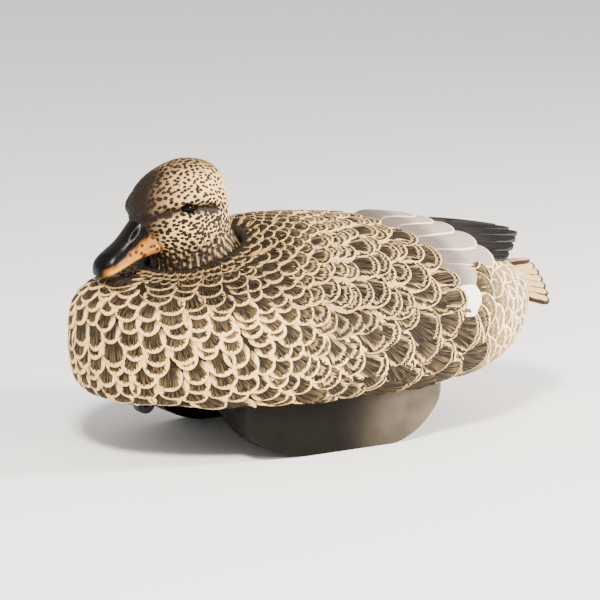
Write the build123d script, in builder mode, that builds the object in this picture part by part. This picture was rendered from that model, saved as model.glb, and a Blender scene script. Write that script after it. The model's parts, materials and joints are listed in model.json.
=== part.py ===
"""Floating duck decoy: a resting hen with a turning head on two keels, in millimetres.

The duck faces -Y, its left side is +X and +Z is up. The origin lies under the middle of the
decoy, on the surface that the two keels stand on. Left and right are the duck's own.
"""

from build123d import *

import os
from math import cos, pi, radians, sin

os.makedirs("parts", exist_ok=True)

# ---------------------------------------------------------------- driving dimensions
KEEL_DEPTH = 40.0  # from the standing surface to the body's flat underside
BODY_WALL = 3.0
FIT_GAP = 0.3  # between a piece set into a shell and that shell

# One row per cross-section of the body, from the breast to the rump:
# y, half width, lowest z, z at the widest, highest z
BODY_STATIONS = [
    (-181, 14, 62, 86, 98),
    (-178, 28, 50, 85, 107),
    (-172, 42, 43, 83, 114),
    (-160, 58, 40, 80, 120),
    (-144, 72, 38, 79, 122),
    (-120, 84, 34, 78, 127),
    (-92, 92, 31, 77, 137),
    (-59, 96, 29, 77, 145),
    (-26, 97, 28, 77, 148),
    (14, 96, 29, 78, 145),
    (54, 92, 31, 80, 139),
    (89, 83, 34, 82, 131),
    (121, 69, 42, 86, 120),
    (142, 54, 54, 90, 110),
    (155, 30, 71, 92, 102),
]
SECTION_POINTS = 24
BACK_POWER = 2.2  # 2 is an ellipse, and more is fuller at the corners
BELLY_POWER = 3.2
LEAST_SHARE = 0.4  # of a cross-section's size, however far it is drawn in

# The opening in the underside, and the plate and gasket that close it
OPENING_CENTRE = (0, -19)
OPENING_WIDTH = 80.0
OPENING_LENGTH = 172.0
OPENING_RADIUS = 34.0
PLATE_THICKNESS = 3.0
GASKET_THICKNESS = 1.5
LEDGE_THICKNESS = 4.0
LEDGE_WIDTH = 9.0
GASKET_BOTTOM = KEEL_DEPTH + PLATE_THICKNESS
LEDGE_BOTTOM = GASKET_BOTTOM + GASKET_THICKNESS
FLOOR_TOP = LEDGE_BOTTOM + LEDGE_THICKNESS
PLATE_SCREW_X = 35.5
PLATE_SCREW_ROWS = (-71, -19, 33)
PLATE_SCREW_END = 81.5  # from the opening's centre to the screw at each end

# The screws through the plate and through the keels
SCREW_RADIUS = 1.8
SCREW_HOLE_RADIUS = 2.1
SCREW_HEAD_RADIUS = 3.6
SCREW_SLOT = (3.4, 1.1)  # between its ends' centres, and its width
PLATE_SCREW_HEAD_HEIGHT = 2.0
KEEL_SCREW_HEAD_HEIGHT = 2.5
SCREW_WELL_RADIUS = 4.2

NECK_SEAT = (0, -97, 130)  # centre of the flat ring that the head turns on
NECK_TILT = 15.0  # degrees that the neck's axis leans forward
NECK_RADIUS = 33.0
NECK_CLEARANCE = 0.8  # round the neck, in its recess
SEAT_GAP = 0.3  # between the head and its seat
SEAT_THICKNESS = 9.0
SPIGOT_RADIUS = 8.0
SPIGOT_CLEARANCE = 0.05
SPIGOT_LENGTH = 12.6
SOCKET_RADIUS = 12.0
SOCKET_LENGTH = 12.0
FLANGE_RADIUS = 20.0
FLANGE_THICKNESS = 2.5
PLUG_THICKNESS = 5.7
SOCKET_SCREW_CIRCLE = 16.0  # radius of the circle that the socket's screws stand on
SOCKET_SCREW_RADIUS = 1.5
SOCKET_SCREW_LENGTH = 6.5
SOCKET_SCREW_HOLE_RADIUS = 1.6
SOCKET_SCREW_HEAD_RADIUS = 2.8
SOCKET_SCREW_HEAD_HEIGHT = 1.3
SOCKET_SCREW_SLOT = (2.6, 0.9)
SOCKET_COUNTERBORE = (3.0, 1.5)  # radius and depth
BOLT_RADIUS = 3.0
BOLT_CLEARANCE = 0.1
BOLT_HEAD_HEIGHT = 4.0
BOLT_END = 7.0  # how far the bolt reaches past the washer
NUT_HALF_WIDTH = 5.0  # across the flats
NUT_HEIGHT = 5.0
WASHER_RADIUS = 14.0
WASHER_THICKNESS = 1.6

# One row per cross-section of the head, up the neck's axis:
# height over the seat, half width, half length, forward shift
HEAD_STATIONS = [
    (SEAT_GAP, NECK_RADIUS, NECK_RADIUS, 0),
    (10, 28.5, 30, 0),
    (21, 26.5, 32, 2),
    (33, 27, 35.5, 3),
    (45, 27, 36, 3),
    (55.5, 23.5, 32.5, 2),
    (63, 17.5, 25, 1),
    (68, 9.5, 14, 0),
    (70, 4, 6, 0),
]
HEAD_WALL = 2.6

# One row per cross-section of the bill: y, half width, lowest z, highest z
BILL_STATIONS = [
    (-134, 12.4, 136, 168),
    (-143, 11.8, 134, 162.5),
    (-151, 11.4, 131, 153.5),
    (-158, 11.8, 128, 146.4),
    (-165, 12.2, 125.2, 141.2),
    (-169, 11, 123.8, 138.2),
    (-172, 8.6, 123.6, 135.2),
    (-173.6, 4.6, 124.6, 131.4),
]
BILL_PITCH = 28.0  # degrees that the bill's peg points below level
BILL_BASE = (0, -125, 153)  # where the peg's line starts, inside the head
BILL_PEG_RADIUS = 4.0
BILL_PEG = (6, 26)  # its ends, as distances from the bill's base
STEM_CLEARANCE = 0.1  # round the peg and the eyes' stems

EYE_POSITION = (-116, 169)  # y and z
EYE_RADIUS = 4.0
EYE_STEM_RADIUS = 2.5
EYE_FACE = 24.0  # from the middle of the head to the back of the eye's disc
EYE_DEPTH = 4.0
EYE_STEM_LENGTH = 7.0

KEEL_TOP = (40, 76)  # inner and outer face, at the body's underside
KEEL_FOOT = (60, 74)  # inner and outer face, at the standing surface
KEEL_BOW = -108.0
KEEL_STERN = 59.0
KEEL_FLAT = (-55, 16)  # the length that the keel stands on
# From each end of the keel's foot to the body: the way along it, and the share of the depth
KEEL_STERN_CURVE = [(26, 0.3), (35, 0.56)]
KEEL_BOW_CURVE = [(-18, 0.1), (-37, 0.35), (-47, 0.65)]
KEEL_CORE_X = 67.0  # middle of the ballast cavity
KEEL_CORE_WIDTH = 8.0
KEEL_CAVITY = (-55, 14)
KEEL_WALL = 3.0
BALLAST_TOP = 30.0
KEEL_HIDDEN = 8.0  # how far the keel's blank reaches up into the body, before it is trimmed
KEEL_CORNER_RADIUS = 8.0
KEEL_SCREW_X = 66.0
KEEL_SCREW_ROWS = (-84, 34)
KEEL_SCREW_HEAD = 31.0  # height of the shoulder that each head bears on

LINE_TIE = (0, -138, 33)  # centre of the line hole
LINE_TIE_RADIUS = 6.8
LINE_TIE_WIDTH = 7.0
LINE_HOLE_RADIUS = 2.5
LINE_TIE_BLANK = 16.0  # height of the tie's block, before it is trimmed to the body
LINE_TIE_BOSS_RADIUS = 9.0
LINE_TIE_BOSS_TOP = 53.0
STUD_RADIUS = 3.0
STUD_HOLE_RADIUS = 3.1
STUD_ROOT = 2.0  # how far under the body's underside the stud starts, inside the tie
STUD_END = 5.0  # how far the stud reaches past the boss

WING_RADIUS = 85.0  # of the folded wings' rounded back
WING_THICKNESS = 6.0
WING_FRONT = 40.0
WING_FRONT_TOP = 146.0
WING_SLOPE = 0.14
WING_LENGTH = 130.0
# Plan outline of the left wing tip, from its front inner corner
WING_OUTLINE = [(8, 41), (46, 51), (66, 83), (58, 115), (34, 149), (13, 163), (6, 139)]

# Plan outline of one half of the tail fan, and its roof
TAIL_HALF_OUTLINE = [(26, 112), (36, 143), (41, 165), (36, 174), (20, 180), (0, 181)]
TAIL_RIDGE = 101.0
TAIL_EAVES = 82.0
TAIL_HALF_WIDTH = 44.0
TAIL_THICKNESS = 4.0
TAIL_FRONT = 100.0

# The foam core's hollows
FOAM_NECK_RADIUS = 18.0  # round the neck's nut
FOAM_NECK_DEPTH = 20.0
FOAM_TIE_RADIUS = 11.0
FOAM_TIE_HEIGHT = 30.0

# Reaches of blanks and cuts that are trimmed by other pieces
FLOOR_REACH = 400.0
BOSS_REACH = 20.0
RECESS_REACH = 40.0
CUT_REACH = 60.0


# ---------------------------------------------------------------- shared forms
def section_points(half_width, low, wide, high):
    """Points round one cross-section of the body, as (x, z)."""
    points = []
    for i in range(SECTION_POINTS):
        angle = 2 * pi * i / SECTION_POINTS
        across, up = cos(angle), sin(angle)
        power = BACK_POWER if up > 0 else BELLY_POWER
        reach = high - wide if up > 0 else wide - low
        x = half_width * abs(across) ** (2 / power) * (1 if across > 0 else -1)
        z = wide + reach * abs(up) ** (2 / power) * (1 if up > 0 else -1)
        points.append((x, z))
    return points


def body_form(inset):
    """The body's outer form, drawn in by inset all round."""
    front, rear = BODY_STATIONS[0][0], BODY_STATIONS[-1][0]
    middle = (front + rear) / 2
    shrink = 1 - 2 * inset / (rear - front)
    with BuildPart() as form:
        for y, half_width, low, wide, high in BODY_STATIONS:
            width = max(half_width - inset, LEAST_SHARE * half_width)
            up = max(high - wide - inset, LEAST_SHARE * (high - wide))
            down = max(wide - low - inset, LEAST_SHARE * (wide - low))
            with BuildSketch(Plane.XZ.offset(-middle - (y - middle) * shrink)):
                with BuildLine():
                    Spline(section_points(width, wide - down, wide, wide + up), periodic=True)
                make_face()
        loft()
    return form.part


def head_form(inset):
    """The head's outer form, drawn in by inset all round but at the neck."""
    top = HEAD_STATIONS[-1][0]
    with BuildPart() as form:
        for height, half_width, half_length, forward in HEAD_STATIONS:
            drawn_height = height if height == SEAT_GAP else height * (top - inset) / top
            with BuildSketch(neck_plane.offset(drawn_height)):
                with Locations((0, -forward)):
                    Ellipse(
                        max(half_width - inset, LEAST_SHARE * half_width),
                        max(half_length - inset, LEAST_SHARE * half_length),
                    )
        loft()
    return form.part


def opening_block(inset, bottom, top):
    """A block with the belly opening's outline, drawn in by inset."""
    with BuildPart() as block:
        with BuildSketch(Plane.XY.offset(bottom)):
            with Locations(OPENING_CENTRE):
                RectangleRounded(
                    OPENING_WIDTH - 2 * inset,
                    OPENING_LENGTH - 2 * inset,
                    OPENING_RADIUS - inset,
                )
        extrude(amount=top - bottom)
    return block.part


def save(part, name):
    """Labels a finished piece and writes it."""
    part.label = name
    export_step(part, f"parts/{name}.step")


neck_plane = Plane(
    origin=NECK_SEAT,
    x_dir=(1, 0, 0),
    z_dir=(0, -sin(radians(NECK_TILT)), cos(radians(NECK_TILT))),
)
bill_plane = Plane(
    origin=BILL_BASE,
    x_dir=(1, 0, 0),
    z_dir=(0, -cos(radians(BILL_PITCH)), -sin(radians(BILL_PITCH))),
)
outer_body = body_form(0)
outer_head = head_form(0)
with BuildPart() as body_solid:
    add(outer_body)
    split(bisect_by=Plane.XY.offset(KEEL_DEPTH), keep=Keep.TOP)

plate_screws_at = [(side * PLATE_SCREW_X, y) for side in (1, -1) for y in PLATE_SCREW_ROWS]
plate_screws_at += [(0, OPENING_CENTRE[1] + end * PLATE_SCREW_END) for end in (1, -1)]
keel_screws_at = [(side * KEEL_SCREW_X, y) for side in (1, -1) for y in KEEL_SCREW_ROWS]
socket_screws_at = PolarLocations(SOCKET_SCREW_CIRCLE, 3, start_angle=90)

# ---------------------------------------------------------------- body shell
with BuildPart() as shell_floor:
    with BuildSketch(Plane.XY.offset(KEEL_DEPTH)):
        Rectangle(FLOOR_REACH, FLOOR_REACH)
    extrude(amount=FLOOR_TOP - KEEL_DEPTH)
    add(outer_body, mode=Mode.INTERSECT)

with BuildPart() as neck_boss:
    with BuildSketch(neck_plane.offset(-SEAT_THICKNESS)):
        Circle(NECK_RADIUS + NECK_CLEARANCE + BODY_WALL)
    extrude(amount=SEAT_THICKNESS + BOSS_REACH)
    add(outer_body, mode=Mode.INTERSECT)

with BuildPart() as tie_boss:
    with BuildSketch(Plane.XY.offset(KEEL_DEPTH)):
        with Locations(LINE_TIE[:2]):
            Circle(LINE_TIE_BOSS_RADIUS)
    extrude(amount=LINE_TIE_BOSS_TOP - KEEL_DEPTH)
    add(outer_body, mode=Mode.INTERSECT)

with BuildPart() as body_shell:
    add(outer_body)
    add(body_form(BODY_WALL), mode=Mode.SUBTRACT)
    split(bisect_by=Plane.XY.offset(KEEL_DEPTH), keep=Keep.TOP)
    add(shell_floor.part)
    add(neck_boss.part)
    add(tie_boss.part)
    # the belly opening, wider below the ledge
    add(opening_block(0, KEEL_DEPTH, LEDGE_BOTTOM), mode=Mode.SUBTRACT)
    add(opening_block(LEDGE_WIDTH, LEDGE_BOTTOM, FLOOR_TOP), mode=Mode.SUBTRACT)
    # the neck's recess, the flange's seat and the socket's hole
    with BuildSketch(neck_plane):
        Circle(NECK_RADIUS + NECK_CLEARANCE)
    extrude(amount=RECESS_REACH, mode=Mode.SUBTRACT)
    with BuildSketch(neck_plane):
        Circle(FLANGE_RADIUS + FIT_GAP)
    extrude(amount=-FLANGE_THICKNESS, mode=Mode.SUBTRACT)
    with BuildSketch(neck_plane):
        Circle(SOCKET_RADIUS + FIT_GAP)
        with socket_screws_at:
            Circle(SOCKET_SCREW_RADIUS)
    extrude(amount=-RECESS_REACH, mode=Mode.SUBTRACT)
    # screw holes in the floor and the ledge, and the line tie's hole
    with BuildSketch(Plane.XY.offset(KEEL_DEPTH)):
        with Locations(*plate_screws_at, *keel_screws_at):
            Circle(SCREW_RADIUS)
        with Locations(LINE_TIE[:2]):
            Circle(STUD_HOLE_RADIUS)
    extrude(amount=BOSS_REACH, mode=Mode.SUBTRACT)
save(body_shell.part, "body_shell")

# ---------------------------------------------------------------- belly plate, gasket and screws
with BuildPart() as belly_plate:
    add(opening_block(FIT_GAP, KEEL_DEPTH, GASKET_BOTTOM))
    with Locations(Plane.XY.offset(KEEL_DEPTH)):
        with Locations(*[(x, y, 0) for x, y in plate_screws_at]):
            Cylinder(SCREW_HOLE_RADIUS, 2 * PLATE_THICKNESS, mode=Mode.SUBTRACT)
save(belly_plate.part, "belly_plate")

with BuildPart() as belly_gasket:
    add(opening_block(FIT_GAP, GASKET_BOTTOM, LEDGE_BOTTOM))
    add(opening_block(LEDGE_WIDTH, GASKET_BOTTOM, LEDGE_BOTTOM), mode=Mode.SUBTRACT)
    with BuildSketch(Plane.XY.offset(GASKET_BOTTOM)):
        with Locations(*plate_screws_at):
            Circle(SCREW_HOLE_RADIUS)
    extrude(amount=GASKET_THICKNESS, mode=Mode.SUBTRACT)
save(belly_gasket.part, "belly_gasket")

with BuildPart() as belly_screws:
    with BuildSketch(Plane.XY.offset(KEEL_DEPTH)):
        with Locations(*plate_screws_at):
            Circle(SCREW_HEAD_RADIUS)
            SlotCenterToCenter(*SCREW_SLOT, mode=Mode.SUBTRACT)
    extrude(amount=-PLATE_SCREW_HEAD_HEIGHT)
    with BuildSketch(Plane.XY.offset(KEEL_DEPTH)):
        with Locations(*plate_screws_at):
            Circle(SCREW_RADIUS)
    extrude(amount=FLOOR_TOP - KEEL_DEPTH)
save(belly_screws.part, "belly_screws")

# ---------------------------------------------------------------- foam core
with BuildPart() as foam_core:
    add(body_form(BODY_WALL + FIT_GAP))
    split(bisect_by=Plane.XY.offset(FLOOR_TOP), keep=Keep.TOP)
    with BuildSketch(neck_plane.offset(-SEAT_THICKNESS)):
        Circle(NECK_RADIUS + 2 * BODY_WALL)
    extrude(amount=CUT_REACH, mode=Mode.SUBTRACT)
    with BuildSketch(neck_plane.offset(-SEAT_THICKNESS)):
        Circle(FOAM_NECK_RADIUS)
    extrude(amount=-FOAM_NECK_DEPTH, mode=Mode.SUBTRACT)
    with BuildSketch(Plane.XY.offset(KEEL_DEPTH)):
        with Locations(LINE_TIE[:2]):
            Circle(FOAM_TIE_RADIUS)
    extrude(amount=FOAM_TIE_HEIGHT, mode=Mode.SUBTRACT)
save(foam_core.part, "foam_core")

# ---------------------------------------------------------------- keels
for side, name in ((1, "left"), (-1, "right")):
    with BuildPart() as keel:
        # side view, carried up into the body
        with BuildSketch(Plane.YZ.offset(side * KEEL_TOP[0])):
            with BuildLine():
                Polyline(
                    (KEEL_BOW, KEEL_DEPTH),
                    (KEEL_BOW, KEEL_DEPTH + KEEL_HIDDEN),
                    (KEEL_STERN, KEEL_DEPTH + KEEL_HIDDEN),
                    (KEEL_STERN, KEEL_DEPTH),
                )
                Spline(
                    (KEEL_FLAT[1], 0),
                    *[(KEEL_FLAT[1] + y, share * KEEL_DEPTH) for y, share in KEEL_STERN_CURVE],
                    (KEEL_STERN, KEEL_DEPTH),
                )
                Line((KEEL_FLAT[1], 0), (KEEL_FLAT[0], 0))
                Spline(
                    (KEEL_FLAT[0], 0),
                    *[(KEEL_FLAT[0] + y, share * KEEL_DEPTH) for y, share in KEEL_BOW_CURVE],
                    (KEEL_BOW, KEEL_DEPTH),
                )
            make_face()
        extrude(amount=side * (KEEL_TOP[1] - KEEL_TOP[0]))
        # end view
        with BuildSketch(Plane.XZ.offset(-KEEL_STERN - KEEL_HIDDEN)):
            Polygon(
                (side * KEEL_FOOT[0], 0),
                (side * KEEL_FOOT[1], 0),
                (side * KEEL_TOP[1], KEEL_DEPTH),
                (side * KEEL_TOP[1], KEEL_DEPTH + KEEL_HIDDEN),
                (side * KEEL_TOP[0], KEEL_DEPTH + KEEL_HIDDEN),
                (side * KEEL_TOP[0], KEEL_DEPTH),
                align=None,
            )
        extrude(amount=FLOOR_REACH, mode=Mode.INTERSECT)
        # plan view, rounded at the bow and the stern
        with BuildSketch():
            with Locations((side * sum(KEEL_TOP) / 2, (KEEL_BOW + KEEL_STERN) / 2)):
                RectangleRounded(
                    KEEL_TOP[1] - KEEL_TOP[0],
                    KEEL_STERN - KEEL_BOW,
                    KEEL_CORNER_RADIUS,
                )
        extrude(amount=KEEL_DEPTH + KEEL_HIDDEN, mode=Mode.INTERSECT)
        add(body_solid.part, mode=Mode.SUBTRACT)
        # ballast cavity, open at the top
        with BuildSketch(Plane.XY.offset(KEEL_DEPTH)):
            with Locations((side * KEEL_CORE_X, sum(KEEL_CAVITY) / 2)):
                Rectangle(KEEL_CORE_WIDTH, KEEL_CAVITY[1] - KEEL_CAVITY[0])
        extrude(amount=-KEEL_DEPTH + KEEL_WALL, mode=Mode.SUBTRACT)
        # wells and holes for the keel screws
        with BuildSketch():
            with Locations(*[(side * KEEL_SCREW_X, y) for y in KEEL_SCREW_ROWS]):
                Circle(SCREW_WELL_RADIUS)
        extrude(amount=KEEL_SCREW_HEAD, mode=Mode.SUBTRACT)
        with BuildSketch():
            with Locations(*[(side * KEEL_SCREW_X, y) for y in KEEL_SCREW_ROWS]):
                Circle(SCREW_HOLE_RADIUS)
        extrude(amount=KEEL_DEPTH, mode=Mode.SUBTRACT)
    save(keel.part, f"{name}_keel")

    with BuildPart() as ballast:
        with BuildSketch(Plane.XY.offset(KEEL_WALL)):
            with Locations((side * KEEL_CORE_X, sum(KEEL_CAVITY) / 2)):
                Rectangle(
                    KEEL_CORE_WIDTH - 2 * FIT_GAP,
                    KEEL_CAVITY[1] - KEEL_CAVITY[0] - 2 * FIT_GAP,
                )
        extrude(amount=BALLAST_TOP - KEEL_WALL)
    save(ballast.part, f"{name}_ballast")

with BuildPart() as keel_screws:
    with BuildSketch(Plane.XY.offset(KEEL_SCREW_HEAD)):
        with Locations(*keel_screws_at):
            Circle(SCREW_HEAD_RADIUS)
            SlotCenterToCenter(*SCREW_SLOT, mode=Mode.SUBTRACT)
    extrude(amount=-KEEL_SCREW_HEAD_HEIGHT)
    with BuildSketch(Plane.XY.offset(KEEL_SCREW_HEAD)):
        with Locations(*keel_screws_at):
            Circle(SCREW_RADIUS)
    extrude(amount=FLOOR_TOP - KEEL_SCREW_HEAD)
save(keel_screws.part, "keel_screws")

# ---------------------------------------------------------------- line tie
with BuildPart() as line_tie:
    with BuildSketch(Plane.YZ.offset(-LINE_TIE_WIDTH / 2)):
        with Locations(LINE_TIE[1:]):
            Circle(LINE_TIE_RADIUS)
            with Locations((0, LINE_TIE_BLANK / 2)):
                Rectangle(2 * LINE_TIE_RADIUS, LINE_TIE_BLANK)
    extrude(amount=LINE_TIE_WIDTH)
    add(body_solid.part, mode=Mode.SUBTRACT)
    with BuildSketch(Plane.XY.offset(KEEL_DEPTH - STUD_ROOT)):
        with Locations(LINE_TIE[:2]):
            Circle(STUD_RADIUS)
    extrude(amount=LINE_TIE_BOSS_TOP + STUD_END - KEEL_DEPTH + STUD_ROOT)
    with BuildSketch(Plane.YZ.offset(-LINE_TIE_WIDTH)):
        with Locations(LINE_TIE[1:]):
            Circle(LINE_HOLE_RADIUS)
    extrude(amount=2 * LINE_TIE_WIDTH, mode=Mode.SUBTRACT)
save(line_tie.part, "line_tie")

with BuildPart() as line_tie_nut:
    with BuildSketch(Plane.XY.offset(LINE_TIE_BOSS_TOP)):
        with Locations(LINE_TIE[:2]):
            RegularPolygon(NUT_HALF_WIDTH, 6, major_radius=False)
            Circle(STUD_RADIUS, mode=Mode.SUBTRACT)
    extrude(amount=NUT_HEIGHT)
save(line_tie_nut.part, "line_tie_nut")

# ---------------------------------------------------------------- wing tips and tail fan
for side, name in ((1, "left"), (-1, "right")):
    with BuildPart() as wingtip:
        with BuildSketch(Plane.XY.offset(KEEL_DEPTH)):
            Polygon(*[(side * x, y) for x, y in WING_OUTLINE], align=None)
        extrude(amount=WING_FRONT_TOP)
        with BuildSketch(Plane.XZ.offset(-WING_FRONT)):
            with Locations((0, WING_FRONT_TOP - WING_RADIUS)):
                Circle(WING_RADIUS)
                Circle(WING_RADIUS - WING_THICKNESS, mode=Mode.SUBTRACT)
        extrude(amount=WING_LENGTH, dir=(0, 1, -WING_SLOPE), mode=Mode.INTERSECT)
        add(outer_body, mode=Mode.SUBTRACT)
    save(wingtip.part, f"{name}_wingtip")

with BuildPart() as tail_fan:
    with BuildSketch(Plane.XY.offset(KEEL_DEPTH)):
        with BuildLine():
            Polyline(*TAIL_HALF_OUTLINE)
            mirror(about=Plane.YZ)
            Line((-TAIL_HALF_OUTLINE[0][0], TAIL_HALF_OUTLINE[0][1]), TAIL_HALF_OUTLINE[0])
        make_face()
    extrude(amount=TAIL_RIDGE)
    with BuildSketch(Plane.XZ.offset(-TAIL_FRONT)):
        Polygon(
            (-TAIL_HALF_WIDTH, TAIL_EAVES),
            (0, TAIL_RIDGE),
            (TAIL_HALF_WIDTH, TAIL_EAVES),
            (TAIL_HALF_WIDTH, TAIL_EAVES - TAIL_THICKNESS),
            (0, TAIL_RIDGE - TAIL_THICKNESS),
            (-TAIL_HALF_WIDTH, TAIL_EAVES - TAIL_THICKNESS),
            align=None,
        )
    extrude(amount=-FLOOR_REACH, mode=Mode.INTERSECT)
    add(outer_body, mode=Mode.SUBTRACT)
save(tail_fan.part, "tail_fan")

# ---------------------------------------------------------------- neck socket
with BuildPart() as neck_socket:
    with BuildSketch(neck_plane):
        Circle(FLANGE_RADIUS)
    extrude(amount=-FLANGE_THICKNESS)
    with BuildSketch(neck_plane):
        Circle(SOCKET_RADIUS)
    extrude(amount=-SOCKET_LENGTH)
    with BuildSketch(neck_plane):
        Circle(SPIGOT_RADIUS + SPIGOT_CLEARANCE)
    extrude(amount=-SOCKET_LENGTH, mode=Mode.SUBTRACT)
    with BuildSketch(neck_plane):
        with socket_screws_at:
            Circle(SOCKET_SCREW_HOLE_RADIUS)
    extrude(amount=-FLANGE_THICKNESS, mode=Mode.SUBTRACT)
    with BuildSketch(neck_plane):
        with socket_screws_at:
            Circle(SOCKET_COUNTERBORE[0])
    extrude(amount=-SOCKET_COUNTERBORE[1], mode=Mode.SUBTRACT)
save(neck_socket.part, "neck_socket")

with BuildPart() as socket_screws:
    with BuildSketch(neck_plane.offset(-SOCKET_COUNTERBORE[1])):
        with socket_screws_at:
            Circle(SOCKET_SCREW_HEAD_RADIUS)
            SlotCenterToCenter(*SOCKET_SCREW_SLOT, mode=Mode.SUBTRACT)
    extrude(amount=SOCKET_SCREW_HEAD_HEIGHT)
    with BuildSketch(neck_plane.offset(-SOCKET_COUNTERBORE[1])):
        with socket_screws_at:
            Circle(SOCKET_SCREW_RADIUS)
    extrude(amount=-SOCKET_SCREW_LENGTH)
save(socket_screws.part, "socket_screws")

# ---------------------------------------------------------------- head
with BuildPart() as head_shell:
    add(outer_head)
    add(head_form(HEAD_WALL), mode=Mode.SUBTRACT)
    with BuildSketch(bill_plane):
        Circle(BILL_PEG_RADIUS + STEM_CLEARANCE)
    extrude(amount=BILL_PEG[1], mode=Mode.SUBTRACT)
    with BuildSketch(Plane.YZ):
        with Locations(EYE_POSITION):
            Circle(EYE_STEM_RADIUS + STEM_CLEARANCE)
    extrude(amount=NECK_RADIUS, both=True, mode=Mode.SUBTRACT)
save(head_shell.part, "head_shell")

with BuildPart() as neck_plug:
    with BuildSketch(neck_plane.offset(SEAT_GAP)):
        Circle(NECK_RADIUS)
    extrude(amount=PLUG_THICKNESS)
    add(head_form(HEAD_WALL + STEM_CLEARANCE), mode=Mode.INTERSECT)
    with BuildSketch(neck_plane.offset(SEAT_GAP)):
        Circle(SPIGOT_RADIUS)
    extrude(amount=-SPIGOT_LENGTH - SEAT_GAP)
    with BuildSketch(neck_plane.offset(-SPIGOT_LENGTH)):
        Circle(BOLT_RADIUS + BOLT_CLEARANCE)
    extrude(amount=CUT_REACH, mode=Mode.SUBTRACT)
save(neck_plug.part, "neck_plug")

plug_top = SEAT_GAP + PLUG_THICKNESS
washer_top = -SPIGOT_LENGTH
washer_bottom = washer_top - WASHER_THICKNESS
with BuildPart() as neck_bolt:
    with BuildSketch(neck_plane.offset(plug_top)):
        RegularPolygon(NUT_HALF_WIDTH, 6, major_radius=False)
    extrude(amount=BOLT_HEAD_HEIGHT)
    with BuildSketch(neck_plane.offset(plug_top)):
        Circle(BOLT_RADIUS)
    extrude(amount=washer_bottom - BOLT_END - plug_top)
save(neck_bolt.part, "neck_bolt")

with BuildPart() as neck_washer:
    with BuildSketch(neck_plane.offset(washer_top)):
        Circle(WASHER_RADIUS)
        Circle(BOLT_RADIUS + BOLT_CLEARANCE, mode=Mode.SUBTRACT)
    extrude(amount=washer_bottom - washer_top)
save(neck_washer.part, "neck_washer")

with BuildPart() as neck_nut:
    with BuildSketch(neck_plane.offset(washer_bottom)):
        RegularPolygon(NUT_HALF_WIDTH, 6, major_radius=False)
        Circle(BOLT_RADIUS, mode=Mode.SUBTRACT)
    extrude(amount=-NUT_HEIGHT)
save(neck_nut.part, "neck_nut")

# ---------------------------------------------------------------- bill and eyes
with BuildPart() as bill:
    for y, half_width, low, high in BILL_STATIONS:
        with BuildSketch(Plane.XZ.offset(-y)):
            with Locations((0, (low + high) / 2)):
                Ellipse(half_width, (high - low) / 2)
    loft()
    add(outer_head, mode=Mode.SUBTRACT)
    with BuildSketch(bill_plane.offset(BILL_PEG[0])):
        Circle(BILL_PEG_RADIUS)
    extrude(amount=BILL_PEG[1] - BILL_PEG[0])
save(bill.part, "bill")

for side, name in ((1, "left"), (-1, "right")):
    with BuildPart() as eye:
        with BuildSketch(Plane.YZ.offset(side * EYE_FACE)):
            with Locations(EYE_POSITION):
                Circle(EYE_RADIUS)
        extrude(amount=side * EYE_DEPTH)
        add(outer_head, mode=Mode.SUBTRACT)
        with BuildSketch(Plane.YZ.offset(side * (EYE_FACE - EYE_DEPTH))):
            with Locations(EYE_POSITION):
                Circle(EYE_STEM_RADIUS)
        extrude(amount=side * EYE_STEM_LENGTH)
    save(eye.part, f"{name}_eye")
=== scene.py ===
"""Looks of the floating duck decoy. The duck faces -Y, its left is +X and +Z is up.

The decoy's plumage is made of moulded feathers laid in rows over the CAD forms. Lengths in the
feather code are millimetres, and build_mesh turns them into metres.
"""

import json
from math import cos, radians, sin

import bpy
import numpy as np
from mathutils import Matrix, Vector
from mathutils.bvhtree import BVHTree
from mathutils.kdtree import KDTree
from numpy.linalg import norm


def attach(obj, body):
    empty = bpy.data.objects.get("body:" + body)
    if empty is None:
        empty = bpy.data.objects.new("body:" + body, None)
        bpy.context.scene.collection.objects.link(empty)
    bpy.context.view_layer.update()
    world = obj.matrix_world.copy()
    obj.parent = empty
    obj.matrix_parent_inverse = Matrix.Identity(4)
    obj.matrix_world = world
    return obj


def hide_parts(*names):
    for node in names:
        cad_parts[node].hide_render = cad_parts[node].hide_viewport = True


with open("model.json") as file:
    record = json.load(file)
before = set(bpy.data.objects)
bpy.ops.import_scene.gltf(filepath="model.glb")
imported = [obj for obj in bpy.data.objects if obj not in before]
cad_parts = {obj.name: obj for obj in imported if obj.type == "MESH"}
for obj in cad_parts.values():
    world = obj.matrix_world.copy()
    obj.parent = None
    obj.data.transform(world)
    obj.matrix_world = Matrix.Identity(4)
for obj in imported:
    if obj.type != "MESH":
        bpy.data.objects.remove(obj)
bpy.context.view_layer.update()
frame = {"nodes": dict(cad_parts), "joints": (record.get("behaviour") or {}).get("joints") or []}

MM = 0.001
nodes = frame["nodes"]
joint = frame["joints"][0]
NECK = np.array(joint["pos_m"]) / MM
NECK_AXIS = np.array(joint["axis"])
rng = np.random.default_rng(7)

SIDEWAYS = np.array([1.0, 0.0, 0.0])
TAILWARD = np.array([0.0, 1.0, 0.0])
NECK_REAR = np.cross(NECK_AXIS, SIDEWAYS)  # square to the neck's axis, towards the tail
FAR = 400.0  # a distance outside the decoy, to cast rays from


# ---------------- small tools
def unit(v):
    return v / max(float(norm(v)), 1e-9)


def flat_on(normal, v):
    """The direction along a surface that is nearest to v."""
    return unit(v - (v @ normal) * normal)


def ramp(low, high, value):
    """0 below low, 1 above high and smooth between them."""
    x = np.clip((np.asarray(value, float) - low) / (high - low), 0, 1)
    return x * x * (3 - 2 * x)


def mix(a, b, share):
    """a where share is 0, b where it is 1."""
    return np.asarray(a, float) * (1 - share) + np.asarray(b, float) * share


def jitter(reach):
    return rng.uniform(-reach, reach)


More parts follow.
